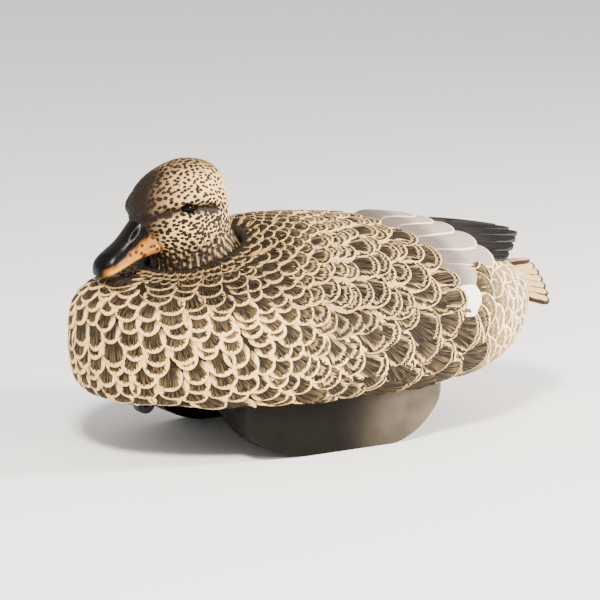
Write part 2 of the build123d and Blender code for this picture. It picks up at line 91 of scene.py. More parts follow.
class Surface:
    """Some CAD nodes' surface in millimetres, to lay feathers on."""

    def __init__(self, *names):
        verts, polys = [], []
        for name in names:
            mesh = nodes[name].data
            first = len(verts)
            verts += [tuple(v.co / MM) for v in mesh.vertices]
            polys += [tuple(first + i for i in p.vertices) for p in mesh.polygons]
        self.tree = BVHTree.FromPolygons(verts, polys)

    def hit(self, origin, direction):
        """Where a ray from outside meets the surface, and the outward normal there."""
        return facing(self.tree.ray_cast(Vector(origin), Vector(direction)), -direction)

    def nearest(self, point, outward):
        return facing(self.tree.find_nearest(Vector(point)), outward)


def facing(found, outward):
    """The place and normal of what a tree found, with the normal on the outward side."""
    place, normal = found[:2]
    if place is None:
        return None, None
    normal = np.array(normal)
    return np.array(place), -normal if normal @ outward < 0 else normal


# ---------------- feathers
class Feathers:
    """Collects feathers of one piece: closed scales with their own coordinates as attributes.

    st holds the place across and along the feather and its own random number. size holds its half
    width, its length and its rim's width. core and edge are the paint of its middle and its rim.
    """

    def __init__(self, rows=8, cols=11):
        self.s = np.sin(np.linspace(-np.pi / 2, np.pi / 2, cols))
        self.t = np.concatenate([np.linspace(0, 0.8, rows - 2), [0.93, 1.0]])
        self.verts, self.faces = [], []
        self.data = {"st": [], "size": [], "core": [], "edge": []}
        self.count = 0
        self.template = self.make_faces(rows, cols)

    def make_faces(self, rows, cols):
        """One feather's faces: its top, its skirt and its flat underside."""
        faces = [
            (r * cols + c, r * cols + c + 1, (r + 1) * cols + c + 1, (r + 1) * cols + c)
            for r in range(rows - 1)
            for c in range(cols - 1)
        ]
        index = np.arange(rows * cols).reshape(rows, cols)
        border = [index[0], index[1:, -1], index[-1, -2::-1], index[-2:0:-1, 0]]
        self.loop = loop = np.concatenate(border).tolist()
        under = rows * cols
        n = len(loop)
        for i in range(n):
            j = (i + 1) % n
            faces.append((loop[j], loop[i], under + i, under + j))
        faces.append(tuple(under + i for i in range(n)))
        return faces

    def outline(self, length, half_width, roundness, root_share):
        """The feather's flat points, as across and along, on its own grid."""
        s, t = np.meshgrid(self.s, self.t)
        along = length * t * (1 - roundness * (1 - np.sqrt(1 - s**2 * 0.9999)))
        across = half_width * s * (root_share + (1 - root_share) * np.sin(t * np.pi / 2))
        return s.ravel(), t.ravel(), across.ravel(), along.ravel()

    def add(self, place, core, edge, length, half_width, rim, lift=2.2, sunk=0.35, crown=0.0,
            ridge=0.3, roundness=0.55, root_share=0.5, depth=1.6, mark=0.0):
        """Adds one feather. place turns flat points and heights into points in the frame."""
        s, t, across, along = self.outline(length, half_width, roundness, root_share)
        inward = np.minimum((1 - t) * length, (1 - np.abs(s)) * half_width)
        height = -sunk + lift * t - 0.5 * np.abs(s) ** 3 + crown * (1 - s**2) * np.sin(t * np.pi)
        height += ridge * ramp(rim * 1.3, rim * 0.5, inward)
        height -= 0.35 * ramp(0.7, 0.0, inward) * (t > 0.4)
        top = place(across, along, height)
        loop = self.loop
        bottom = place(across[loop], along[loop], np.minimum(height[loop] - depth, -0.4))
        self.verts.append(np.vstack([top, bottom]))
        self.faces += [tuple(self.count + i for i in f) for f in self.template]
        self.count += len(top) + len(bottom)
        n = len(s)
        given = {
            "st": np.column_stack([s, t, np.full(n, rng.random())]),
            "size": np.tile([half_width, length, rim], (n, 1)),
            "core": np.tile([*core, mark], (n, 1)),
            "edge": np.tile([*edge, 1.0], (n, 1)),
        }
        for key, values in given.items():
            self.data[key].append(np.vstack([values, values[loop]]))

    def build(self, name, material, body, slot):
        data = {key: np.vstack(values) for key, values in self.data.items()}
        return build_mesh(name, np.vstack(self.verts), self.faces, material, body, data)


def add_object(name, data):
    thing = bpy.data.objects.new(name, data)
    bpy.context.scene.collection.objects.link(thing)
    return thing


def build_mesh(name, verts, faces, material, body, data=None):
    """A piece from points in millimetres, riding on a CAD body."""
    mesh = bpy.data.meshes.new(name)
    mesh.from_pydata([tuple(v) for v in np.asarray(verts) * MM], [], faces)
    for key, values in (data or {}).items():
        kind = "FLOAT_COLOR" if values.shape[1] == 4 else "FLOAT_VECTOR"
        layer = mesh.attributes.new(key, kind, "POINT")
        field = "color" if kind == "FLOAT_COLOR" else "vector"
        layer.data.foreach_set(field, values.astype(np.float32).ravel())
    mesh.shade_smooth()
    mesh.materials.append(material)
    piece = add_object(name, mesh)
    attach(piece, body)
    return piece


def laid_on(surface, root, direction, normal, turn=0.0):
    """A place function for a feather whose points follow a surface."""
    side = unit(np.cross(direction, normal))
    along_dir = direction * cos(turn) + side * sin(turn)
    across_dir = side * cos(turn) - direction * sin(turn)

    def place(across, along, height):
        points = []
        for x, y, h in zip(across, along, height):
            flat = root + across_dir * x + along_dir * y
            spot, out = surface.nearest(flat, normal)
            points.append(spot + unit(normal + out) * h)
        return np.array(points)

    return place


def laid_tailward(surface, root, hand):
    """The place nearest to a root on one side, and a place function from there to the tail."""
    aim = np.array([hand, 0.0, 0.4])
    spot, out = surface.nearest(np.array(root, float) * [hand, 1, 1], aim)
    return spot, laid_on(surface, spot, flat_on(out, TAILWARD), out)


# ---------------- node tools
class Graph:
    """Short forms for the nodes of one material."""

    def __init__(self, name):
        self.material = bpy.data.materials.new(name)
        self.material.use_nodes = True
        self.tree = self.material.node_tree
        self.shader = self.tree.nodes["Principled BSDF"]

    def node(self, kind, **settings):
        n = self.tree.nodes.new(kind)
        for key, value in settings.items():
            setattr(n, key, value)
        return n

    def put(self, socket, value):
        """Links another node's output to a socket, or sets a constant on it."""
        if isinstance(value, bpy.types.NodeSocket):
            self.tree.links.new(value, socket)
        else:
            socket.default_value = value

    def math(self, operation, a, b=0.0, c=0.0):
        n = self.node("ShaderNodeMath", operation=operation)
        for socket, value in zip(n.inputs, (a, b, c)):
            self.put(socket, value)
        return n.outputs[0]

    def times(self, a, b):
        return self.math("MULTIPLY", a, b)

    def ramp(self, value, low, high):
        """0 at low, 1 at high."""
        n = self.node("ShaderNodeMapRange", interpolation_type="SMOOTHSTEP")
        self.put(n.inputs["Value"], value)
        self.put(n.inputs["From Min"], low)
        self.put(n.inputs["From Max"], high)
        return n.outputs[0]

    def mix(self, share, a, b, blend="MIX"):
        n = self.node("ShaderNodeMix", data_type="RGBA", blend_type=blend)
        self.put(n.inputs[0], share)
        for socket, value in ((n.inputs[6], a), (n.inputs[7], b)):
            if not isinstance(value, bpy.types.NodeSocket):
                value = (*value, 1.0)
            self.put(socket, value)
        return n.outputs[2]

    def attribute(self, name):
        return self.node("ShaderNodeAttribute", attribute_name=name).outputs

    def split(self, vector):
        n = self.node("ShaderNodeSeparateXYZ")
        self.put(n.inputs[0], vector)
        return n.outputs

    def join(self, x, y, z):
        n = self.node("ShaderNodeCombineXYZ")
        for socket, value in zip(n.inputs, (x, y, z)):
            self.put(socket, value)
        return n.outputs[0]

    def here(self):
        return self.node("ShaderNodeTexCoord").outputs["Object"]

    def noise(self, scale, detail, vector=None, roughness=0.55):
        """Noise in the object's own coordinates, or in others that are given."""
        n = self.node("ShaderNodeTexNoise")
        self.put(n.inputs["Vector"], vector or self.here())
        for key, value in (("Scale", scale), ("Detail", detail), ("Roughness", roughness)):
            self.put(n.inputs[key], value)
        return n.outputs[0]

    def bump(self, height, strength, distance):
        n = self.node("ShaderNodeBump")
        for key, value in (("Strength", strength), ("Distance", distance), ("Height", height)):
            self.put(n.inputs[key], value)
        self.put(self.shader.inputs["Normal"], n.outputs[0])

    def finish(self, color, roughness, **constants):
        self.put(self.shader.inputs["Base Color"], color)
        self.put(self.shader.inputs["Roughness"], roughness)
        for key, value in constants.items():
            self.shader.inputs[key.replace("_", " ")].default_value = value
        return self.material


RAGGEDNESS = 8.0  # how far, in mm, the barbs shift the rim's inner edge
SECOND_LINE = 3.6  # how many rim widths inside the feather its second pale line lies


def feather_paint(name, streak_share=0.85, shine=0.62):
    """Paint of a moulded feather: dark middle, pale rim, and barbs that fan out from the root."""
    g = Graph(name)
    across, along, chance = g.split(g.attribute("st")["Vector"])
    half_width, length, rim = g.split(g.attribute("size")["Vector"])
    core = g.attribute("core")["Color"]
    mark = g.attribute("core")["Alpha"]
    edge = g.attribute("edge")["Color"]
    seed = g.times(chance, 90.0)
    # barbs run along the feather, and bend outwards with it
    spread = g.math("MULTIPLY_ADD", along, -0.95, 1.9)
    side = g.times(g.times(across, half_width), spread)
    barbs = g.noise(1.0, 2.5, g.join(side, g.times(along, 2.0), seed))
    from_tip = g.times(g.math("SUBTRACT", 1.0, along), length)
    from_side = g.times(g.math("SUBTRACT", 1.0, g.math("ABSOLUTE", across)), half_width)
    inward = g.math("MINIMUM", from_tip, from_side)
    jagged = g.math("SUBTRACT", barbs, 0.5)
    ragged = g.math("MULTIPLY_ADD", jagged, RAGGEDNESS * streak_share, inward)
    rim_share = g.ramp(ragged, g.times(rim, 1.2), g.times(rim, 0.85))
    rim_share = g.times(rim_share, g.ramp(along, 0.22, 0.5))
    # a second pale line inside the feather, like a narrow U
    from_mark = g.math("ABSOLUTE", g.math("SUBTRACT", ragged, g.times(rim, SECOND_LINE)))
    mark_share = g.ramp(from_mark, g.times(rim, 0.75), g.times(rim, 0.4))
    mark_share = g.times(mark_share, g.times(mark, 0.62))
    lit_barbs = g.ramp(barbs, 0.48, 0.58)
    pale_core = g.mix(0.13, core, edge)
    middle = g.mix(g.times(lit_barbs, streak_share), core, pale_core)
    middle = g.mix(mark_share, middle, edge)
    color = g.mix(rim_share, middle, edge)
    # painted shade: the root of each feather is darkened where the feather in front overhangs it
    shade_under_front = g.ramp(along, 0.72, 0.45)
    color = g.mix(g.times(shade_under_front, 0.6), color, (0.016, 0.012, 0.009))
    blotch = g.ramp(g.noise(55.0, 4.0), 0.35, 0.75)
    color = g.mix(g.times(blotch, 0.22), color, (0.9, 0.86, 0.8), blend="MULTIPLY")
    roughness = g.math("MULTIPLY_ADD", barbs, 0.22, shine - 0.08)
    fine = g.noise(900.0, 2.0)
    relief = g.math("MULTIPLY_ADD", fine, 0.12, barbs)
    g.bump(relief, 1.0, 0.0009)
    return g.finish(color, roughness, Specular_IOR_Level=0.08)


# ---------------- stage and camera
# each lamp's place and size in metres, its power in watts and its colour
LAMPS = {
    "key": ((1.1, -0.9, 1.6), 0.35, 105, (1.0, 0.94, 0.84)),
    "back": ((0.9, 1.6, 0.8), 0.4, 105, (1.0, 0.94, 0.85)),
    "side": ((1.8, 0.9, 0.5), 0.35, 55, (1.0, 0.93, 0.83)),
}


def make_floor():
    """A pale plain floor."""
    reach = 6.0
    corners = [(-reach, -reach, 0), (reach, -reach, 0), (reach, reach, 0), (-reach, reach, 0)]
    mesh = bpy.data.meshes.new("floor")
    mesh.from_pydata(corners, [], [(0, 1, 2, 3)])
    mesh.materials.append(Graph("floor_paint").finish((0.86, 0.86, 0.86, 1.0), 0.7))
    floor = add_object("floor", mesh)


def make_light():
    """An even white sky and three soft lamps."""
    world = bpy.data.worlds.new("studio")
    world.use_nodes = True
    sky = world.node_tree.nodes["Background"]
    sky.inputs["Color"].default_value = (1.0, 1.0, 1.0, 1.0)
    sky.inputs["Strength"].default_value = 1.0
    bpy.context.scene.world = world
    aim = Vector((0, 0, 0.08))
    for name, (place, size, power, color) in LAMPS.items():
        light = bpy.data.lights.new(name, "AREA")
        light.size = size
        light.energy = power
        light.color = color
        lamp = add_object(name, light)
        lamp.location = place
        lamp.rotation_euler = (aim - lamp.location).to_track_quat("-Z", "Y").to_euler()


def make_camera():
    """The camera, ahead of the decoy on its left and a little above it."""
    azimuth, elevation, distance = radians(58), radians(10.8), 2.2
    aim = Vector((0.0, -0.0125, 0.0918))
    away = Vector((sin(azimuth) * cos(elevation), -cos(azimuth) * cos(elevation), sin(elevation)))
    data = bpy.data.cameras.new("camera")
    data.lens = 188.8
    data.sensor_width = 36.0
    data.clip_end = 50.0
    camera = add_object("camera", data)
    camera.location = aim + away * distance
    camera.rotation_euler = (-away).to_track_quat("-Z", "Y").to_euler()
    bpy.context.scene.camera = camera


# ---------------- body plumage
NECK_CLEAR = 35.0  # nearest that a row's feather comes to the neck's axis
# what each place along y adds to the level there, which makes the rows lean towards the tail
LEAN = ([-190, -150, -110, -60, 0, 190], [5.0, 8.0, 22.0, 60.0, 100.0, 232.0])
WING_PLAN = [(-1, 14), (20, 16), (46, 25), (68, 33), (84, 41), (84, 90), (60, 120), (36, 150), (-1, 165)]
WING_FOOT = 97.0  # below this height the flank's feathers run on under the wing
WING_FOOT_REAR = 86.0  # the same behind WING_BREAK
WING_BREAK = 38.0
DROP = (1.0, 1.0, 1.5)  # the rows follow each other more closely on the way down
# how far the next row starts behind the one at a level: levels and steps
ROW_STEPS = ([40, 80, 140, 185, 255, 330], [6.5, 7.5, 9.3, 12, 17.5, 22])
ROW_SHIFT = 0.38  # each row starts this share of a feather further along than the last
BELLY = 41.5  # no feathers below this height
MAIN_END = 56.0  # the flank's feathers end here, and the rump's come out from under them
# the shoulder's last feathers, just in front of the wing's white ones: root x, y, z
SCAPULARS = [(79, 20, 110), (86, 22, 99)]
# the rings of ragged feathers round the neck: radius, number and length
COLLAR = [(34.4, 60, 9.5), (37.5, 56, 11.0), (41.0, 52, 13.0)]

# the paint of each region's feathers: middle, edge, and the rim's width
FLANK_LOOK = ((0.008, 0.0055, 0.004), (0.9, 0.61, 0.28), 1.9)
FLANK_REAR_RIM = 1.35
BREAST_LOOK = ((0.014, 0.009, 0.006), (0.92, 0.6, 0.25), 2.6)
BACK_LOOK = ((0.004, 0.003, 0.0024), (0.58, 0.4, 0.19), 1.3)
RUMP_LOOK = ((0.23, 0.155, 0.08), (0.92, 0.68, 0.38), 2.5)
NECK_LOOK = ((0.0035, 0.0025, 0.002), (0.36, 0.235, 0.105), 0.9)


def row_level(spot):
    """The rows are the lines on the body where this has one value."""
    return float(norm((spot - NECK) * DROP) + np.interp(spot[1], *LEAN))


def level_gradient(spot, normal):
    """Which way the rows follow each other at a place, and how fast the level rises there."""
    slope = np.interp(spot[1] + 1, *LEAN) - np.interp(spot[1] - 1, *LEAN)
    gradient = unit((spot - NECK) * DROP) * DROP + np.array([0, slope / 2, 0])
    gradient = gradient - (gradient @ normal) * normal
    return unit(gradient), max(float(norm(gradient)), 0.3)


def body_grid(surface):
    """A grid over the body: directions round the neck by directions up and down.

    Holds each place, its normal and its row level, which is no number where no feather may start.
    """
    centre = np.array([0.0, NECK[1], 85.0])
    azimuths = np.radians(np.arange(0, 360, 2.0))
    rises = np.radians(np.arange(80, -70, -0.5))
    places = np.zeros((len(azimuths), len(rises), 3))
    normals = np.zeros_like(places)
    levels = np.full(places.shape[:2], np.nan)
    for a, azimuth in enumerate(azimuths):
        for e, rise in enumerate(rises):
            away = np.array([sin(azimuth) * cos(rise), cos(azimuth) * cos(rise), sin(rise)])
            place, normal = surface.hit(centre + away * FAR, -away)
            if place is None:
                continue
            arm = place - NECK
            off_axis = norm(arm - (arm @ NECK_AXIS) * NECK_AXIS)
            underneath = normal[2] < -0.9 and place[2] < 41
            if off_axis < NECK_CLEAR or underneath:
                continue
            places[a, e], normals[a, e], levels[a, e] = place, normal, row_level(place)
    return places, normals, levels


def row_step(level):
    return float(np.interp(level, *ROW_STEPS))


def level_lines(grid, level):
    """The lines over the body on which the rows' level has one value."""
    levels = grid[2]
    rows, cols = levels.shape
    above = levels > level
    corners = [(0, 0), (1, 0), (1, 1), (0, 1)]
    around = [np.roll(levels, -da, 0)[:, de:cols - 1 + de] for da, de in corners]
    higher = sum((x > level).astype(int) for x in around)
    mixed = np.isfinite(sum(around)) & (higher % 4 != 0)
    links = {}
    for a, e in zip(*np.nonzero(mixed)):
        cuts = []
        for (da, de), (ea, ee) in zip(corners, corners[1:] + corners[:1]):
            one = ((a + da) % rows, e + de)
            two = ((a + ea) % rows, e + ee)
            if above[one] != above[two]:
                cuts.append((min(one, two), max(one, two)))
        for one, two in zip(cuts[::2], cuts[1::2]):
            links.setdefault(one, []).append(two)
            links.setdefault(two, []).append(one)
    return [[cut_at(grid, cut, level) for cut in chain] for chain in chains(links)]


def chains(links):
    """Joins neighbouring cuts into lines, open ones first."""
    left = set(links)
    found = []
    for cut in sorted(links, key=lambda cut: (len(links[cut]), cut)):
        chain = []
        while cut in left:
            left.discard(cut)
            chain.append(cut)
            cut = next((other for other in links[cut] if other in left), None)
        if chain:
            found.append(chain)
    return found


def cut_at(grid, cut, level):
    """Where a level crosses one edge of the grid, with the rows' heading and slope there."""
    places, normals, levels = grid
    one, two = cut
    share = (level - levels[one]) / (levels[two] - levels[one])
    spot = mix(places[one], places[two], share)
    out = unit(mix(normals[one], normals[two], share))
    return spot, out, *level_gradient(spot, out)


def in_plan(x, y, outline):
    """True if a point is inside a plan outline."""
    inside = False
    for (x1, y1), (x2, y2) in zip(outline, outline[1:] + outline[:1]):
        if (y1 > y) != (y2 > y) and x < (x2 - x1) * (y - y1) / (y2 - y1) + x1:
            inside = not inside
    return inside


def regions(spot):
    """How much a place belongs to the back, the breast, the rump and the neck's base."""
    _, y, z = spot
    back = ramp(100, 116, z) * ramp(-112, -70, y)
    breast = 1 - ramp(-120, -40, y)
    rump = ramp(60, 96, y - 0.25 * (z - 80))
    neck = 1 - ramp(46, 82, norm((spot - NECK) * [0.9, 1, 1.1]))
    return back, breast, rump, neck


def body_look(spot):
    """Paint of a body feather at a place: its middle, its edge, and the rim's width."""
    _, y, z = spot
    back, breast, rump, neck = regions(spot)
    core, edge, rim = FLANK_LOOK
    rim = mix(rim, FLANK_REAR_RIM, ramp(-60, 10, y))
    shares = (breast, BREAST_LOOK), (back, BACK_LOOK), (rump, RUMP_LOOK), (neck, NECK_LOOK)
    for share, look in shares:
        core, edge, rim = (mix(old, new, share) for old, new in zip((core, edge, rim), look))
    # the flank lies in the shade of the feathers that overhang it
    shade = ramp(88, 97, z) * ramp(109, 103, z) * ramp(-85, -60, y) * ramp(95, 75, y)
    edge = edge * (1 - 0.35 * shade)
    vary = 1 + jitter(0.2)
    return core * vary, edge * (1 + jitter(0.08)), float(rim)


def make_body_plumage():
    """Every feather of the body, in four pieces."""
    surface = Surface("body_shell", "left_wingtip", "right_wingtip")
    body = Surface("body_shell")
    grid = body_grid(surface)
    names = "breast_feathers", "left_flank_feathers", "right_flank_feathers", "rump_feathers"
    groups = {name: Feathers() for name in names}
    lay_collar(surface, groups["breast_feathers"])
    lay_rump(body, groups["rump_feathers"])
    lay_undertail(body, groups["rump_feathers"])
    level, row = 44.0, 0
    while level < np.nanmax(grid[2]):
        for line in level_lines(grid, level):
            lay_row(surface, line, level, row, groups)
        level += row_step(level)
        row += 1
    lay_scapulars(surface, groups)
    material = feather_paint("body_feather_paint")
    for name, feathers in groups.items():
        feathers.build(name, material, "hull", "body_feathers")


def ring_place(surface, y, turn):
    """The place on the body at a cross-section and an angle round it, from straight up."""
    away = np.array([sin(turn), 0.0, cos(turn)])
    return surface.hit(np.array([0.0, y, 84.0]) + away * FAR, -away)


def lay_rump(surface, feathers):
    """Pale feathers in rings round the rear of the body."""
    row, y = 0, 54.0
    while y < 176:
        half = int(10 * ramp(190, 100, y)) + 6
        for i in range(-half, half + 1):
            turn = np.pi * (i + 0.5 * (row % 2)) / (half + 0.5)
            place, normal = ring_place(surface, y, turn)
            if place is None or place[2] < 42:
                continue
            if y < 76 and place[2] > 88:
                continue
            heading = flat_on(normal, TAILWARD)
            core, edge, rim = body_look(place)
            size = (1.3 - 0.3 * ramp(60, 140, y)) * (1 + jitter(0.15))
            spread = laid_on(surface, place, heading, normal, jitter(0.16))
            feathers.add(spread, core, edge, length=21 * size, half_width=12 * size, rim=rim,
                         lift=2.6, crown=0.6, mark=0.25)
        y += 8.2 * np.interp(y, [50, 90, 130, 160, 176], [1.4, 1.2, 1.0, 0.75, 0.5])
        row += 1


def lay_undertail(surface, feathers):
    """Pale feathers on the body's blunt end, which point up at the tail."""
    for row, z in enumerate((62.0, 70.0, 78.0, 86.0)):
        for i in range(-4, 5):
            x = 8.0 * (i + 0.5 * (row % 2))
            place, normal = surface.hit(np.array([x, FAR, z]), -TAILWARD)
            if place is None or place[1] < 140:
                continue
            heading = flat_on(normal, np.array([0.1 * np.sign(x), 0.0, 1.0]))
            core, edge, rim = body_look(place)
            spread = laid_on(surface, place, heading, normal, jitter(0.16))
            feathers.add(spread, core, edge, length=15, half_width=6.5, rim=rim, lift=2.4,
                         crown=0.5, mark=0.25)


def lay_scapulars(surface, groups):
    """The large feathers that end the shoulder over the wing's lower edge."""
    for hand in (1, -1):
        for root in SCAPULARS:
            spot, spread = laid_tailward(surface, root, hand)
            core, edge, rim = body_look(spot)
            groups[feather_group(spot)].add(
                spread, core, edge, length=46, half_width=10.5, rim=rim,
                lift=3.6, sunk=-0.3, crown=1.4, mark=1.0,
            )


def lay_collar(surface, feathers):
    """Dark ragged feathers round the neck's seat, which hide the joint's gap."""
    for ring, (reach, number, length) in enumerate(COLLAR):
        for i in range(number):
            turn = 2 * np.pi * (i + 0.5 * (ring % 2)) / number
            away = SIDEWAYS * cos(turn) + NECK_REAR * sin(turn)
            place, normal = surface.hit(NECK + away * reach + NECK_AXIS * 60, -NECK_AXIS)
            if place is None:
                continue
            core, edge, rim = body_look(place)
            size = 1 + jitter(0.12)
            spread = laid_on(surface, place, flat_on(normal, away), normal, jitter(0.2))
            feathers.add(spread, core, edge * 0.7, length=length * size, half_width=3.3 * size,
                         rim=0.7, lift=0.7, sunk=-2.4 + 0.9 * ring, crown=0.5, roundness=0.7)


def feather_group(spot):
    if spot[1] < -60:
        return "breast_feathers"
    return "left_flank_feathers" if spot[0] > 0 else "right_flank_feathers"


def under_others(spot):
    """True where the wing's or the rump's feathers lie instead of a row's."""
    x, y, z = spot
    foot = WING_FOOT if y < WING_BREAK else WING_FOOT_REAR
    under_wing = in_plan(abs(x), y, WING_PLAN) and z > foot
    return under_wing or z < BELLY or y > MAIN_END - 0.12 * abs(z - 80)


def spread_along(run, level, row):
    """Each feather's place, normal, heading, step to the next row and breadth along a run."""
    places = np.array([s[0] for s in run])
    steps = norm(np.diff(places, axis=0), axis=1)
    travelled = np.append(0, np.cumsum(steps))
    if travelled[-1] < 8:
        return
    gaps = np.array([row_step(level) / s[3] for s in run])
    breadth = np.array([mix(2.2, 1.9, regions(s[0])[1]) for s in run]) * gaps
    mean = (breadth[1:] + breadth[:-1]) / 2
    passed = np.append(0, np.cumsum(steps / mean))
    number = max(1, round(passed[-1]))
    for i in range(number):
        wanted = (i + (ROW_SHIFT * row) % 1 + jitter(0.1)) / number * passed[-1]
        distance = np.interp(wanted, passed, travelled)
        j = int(np.clip(np.searchsorted(travelled, distance), 1, len(run) - 1))
        share = (distance - travelled[j - 1]) / max(steps[j - 1], 1e-6)
        spot, out, heading = (mix(a, b, share) for a, b in zip(run[j - 1][:3], run[j][:3]))
        gap = float(mix(gaps[j - 1], gaps[j], share))
        yield spot, unit(out), unit(heading), gap, np.interp(distance, travelled, breadth)


def lay_row(surface, run, level, row, groups):
    """Lays one row of feathers along a run of places."""
    for spot, out, heading, gap, width in spread_along(run, level, row):
        if under_others(spot):
            continue
        _, breast, rump, neck = regions(spot)
        core, edge, rim = body_look(spot)
        size = 1 + jitter(0.17)
        spot = spot + heading * gap * jitter(0.2)
        place = laid_on(surface, spot, heading, out, jitter(0.22))
        # the shoulder's feathers stand higher
        raised = 3.2 * ramp(104, 114, spot[2]) * ramp(-95, -70, spot[1])
        groups[feather_group(spot)].add(
            place, core, edge,
            length=mix(2.7, 2.3, breast) * gap * size,
            half_width=0.58 * width * size,
            rim=min(rim, 0.34 * gap),
            lift=1.7 + 0.06 * gap + raised,
            sunk=0.35 - 0.5 * raised,
            crown=0.12 * gap * (1 - breast) + 0.3,
            mark=ramp(0.5, 0.9, 1 - breast) * (1 - rump) * (1 - neck),
        )


# ---------------- head
HEAD_CENTRE = NECK + NECK_AXIS * 30
EYE = (26.0, -116.0, 169.0)
EYE_HALF = (1.9, 4.9, 3.1)  # the eyeball's half sizes
BILL_ROOT = (0.0, -140.0, 152.0)
CHEEK = (23.0, -110.0, 150.0)
BILL_FOOT = (0.0, -138.0, 154.0)
NECK_SIDE = (24.0, -88.0, 148.0)
FOREHEAD = (0.0, -146.0, 167.0)
THROAT = (0.0, -142.0, 134.0)
# lines on the head's left side, as points
EYE_LINE = [(9, -140, 161), (20, -130, 166), (26, -117, 169), (27, -102, 168), (25, -82, 165)]
BROW = [(12, -140, 168), (21, -128, 174), (26, -113, 177), (26, -98, 176)]
CHEEK_CREASE = [(14, -136, 150), (24, -118, 158), (28, -100, 158)]
HEAD_RADIUS = 31.0
SPOT_STEP = 5.5  # degrees from one ring of spots to the next
SPOT_GAP = 3.1  # from spot to spot round a ring
SPOT_LENGTH, SPOT_WIDTH = 1.8, 1.38  # half sizes
SPOT_SHIFT = 0.035  # radians that a spot may be off its place


def on_left(points):
    """The points, with those on the right mirrored to the left."""
    return np.column_stack([np.abs(points[:, 0]), points[:, 1:]])


def near(points, centre, reach):
    """1 at a centre, falling to 0 at a distance, on both sides of the head."""
    return ramp(1.0, 0.0, norm((on_left(points) - centre) / reach, axis=1))


def near_line(points, line, reach):
    """1 on a bent line, falling to 0 at a distance, on both sides of the head."""
    mirrored = on_left(points)
    best = np.full(len(points), 1e9)
    for a, b in zip(np.array(line[:-1], float), np.array(line[1:], float)):
        share = np.clip((mirrored - a) @ (b - a) / ((b - a) @ (b - a)), 0, 1)
        best = np.minimum(best, norm(mirrored - a - share[:, None] * (b - a), axis=1))
    return ramp(1.0, 0.0, best / reach)


def eye_hollow(points):
    """The opening for the eye, between its lids."""
    offset = on_left(points) - EYE
    tilted = offset[:, 2] + 0.1 * offset[:, 1]
    reach = np.sqrt((offset[:, 1] / 5.4) ** 2 + (tilted / 3.3) ** 2 + (offset[:, 0] / 12) ** 2)
    upper = ramp(-0.5, 1.5, tilted)
    lids = (0.9 + 1.1 * upper) * np.exp(-(((reach - 1.25) / 0.28) ** 2))
    return lids - 2.4 * ramp(1.1, 0.75, reach)


def tube_faces(rings, turns, inverted=False):
    """Faces of a closed tube whose points lie ring by ring."""
    faces = []
    for r in range(rings - 1):
        for t in range(turns):
            a, b = r * turns + t, r * turns + (t + 1) % turns
            faces.append((a, a + turns, b + turns, b) if inverted else (a, b, b + turns, a + turns))
    first = tuple(range(turns))
    last = tuple((rings - 1) * turns + t for t in first)
    return faces + ([first, last[::-1]] if inverted else [first[::-1], last])


def eye_material():
    """Glossy black-brown glass."""
    g = Graph("eye_gloss")
    cloud = g.noise(300.0, 2.0)
    color = g.mix(g.ramp(cloud, 0.35, 0.65), (0.0016, 0.0011, 0.0009), (0.004, 0.0022, 0.0014))
    return g.finish(color, 0.1, Specular_IOR_Level=0.05)


def make_eyes():
    """Both eyeballs, each an oval set between its lids."""
    material = eye_material()
    rings, turns = 24, 40
    inset = (0.9, 0.0, 0.0)  # how deep it sits in the head
    for hand, name in ((1, "left"), (-1, "right")):
        points = []
        for r in range(rings):
            for t in range(turns):
                polar, turn = np.pi * (r + 0.5) / rings, 2 * np.pi * t / turns
                ball = np.array([cos(polar), sin(polar) * cos(turn), sin(polar) * sin(turn)])
                points.append((EYE + ball * EYE_HALF - inset) * [hand, 1, 1])
        faces = tube_faces(rings, turns)
        piece = build_mesh(f"{name}_eyeball", points, faces, material, "head")
        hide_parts(f"{name}_eye")


def spot_centres(surface):
    """Rows of the small dark spots that run over the head from the bill to the neck."""
    ahead = unit(BILL_ROOT - HEAD_CENTRE)
    up = np.cross(SIDEWAYS, ahead)
    places, flows, normals = [], [], []
    for row, polar in enumerate(np.radians(np.arange(15, 172, SPOT_STEP))):
        number = max(3, int(2 * np.pi * HEAD_RADIUS * sin(polar) / SPOT_GAP))
        for i in range(number):
            turn = 2 * np.pi * (i + 0.5 * (row % 2)) / number
            turn += jitter(SPOT_SHIFT) / max(sin(polar), 0.3)
            lean = polar + jitter(SPOT_SHIFT)
            ring = SIDEWAYS * cos(turn) + up * sin(turn)
            away = ahead * cos(lean) + ring * sin(lean)
            place, normal = surface.hit(HEAD_CENTRE + away * FAR, -away)
            if place is None:
                continue
            flow = ring * cos(lean) - ahead * sin(lean)
            places.append(place)
            normals.append(normal)
            flows.append(flat_on(normal, flow))
    return np.array(places), np.array(flows), np.array(normals)


def head_sculpt(points, spots):
    """How far the head's brow, lids, cheeks, spots and streaks stand out of the CAD form."""
    ripple = np.sin(points[:, 1] * 0.32 + points[:, 2] * 0.21)
    sculpt = 2.6 * near_line(points, BROW, 9.0) - 2.6 * near_line(points, EYE_LINE, 5.5)
    sculpt += 2.2 * near(points, CHEEK, 19)
    sculpt -= 0.9 * near_line(points, CHEEK_CREASE, 5)
    sculpt += eye_hollow(points)
    sculpt += 2.4 * near(points, BILL_FOOT, 15)
    sculpt += 0.8 * ripple * near(points, NECK_SIDE, 22)
    sculpt -= 0.62 * spots
    sculpt += 0.55 * neck_streaks(points)
    # nothing stands out at the very foot, where the neck meets its bearing
    foot = ramp(1.0, 9.0, (points - NECK) @ NECK_AXIS)
    return (sculpt + 0.1) * foot


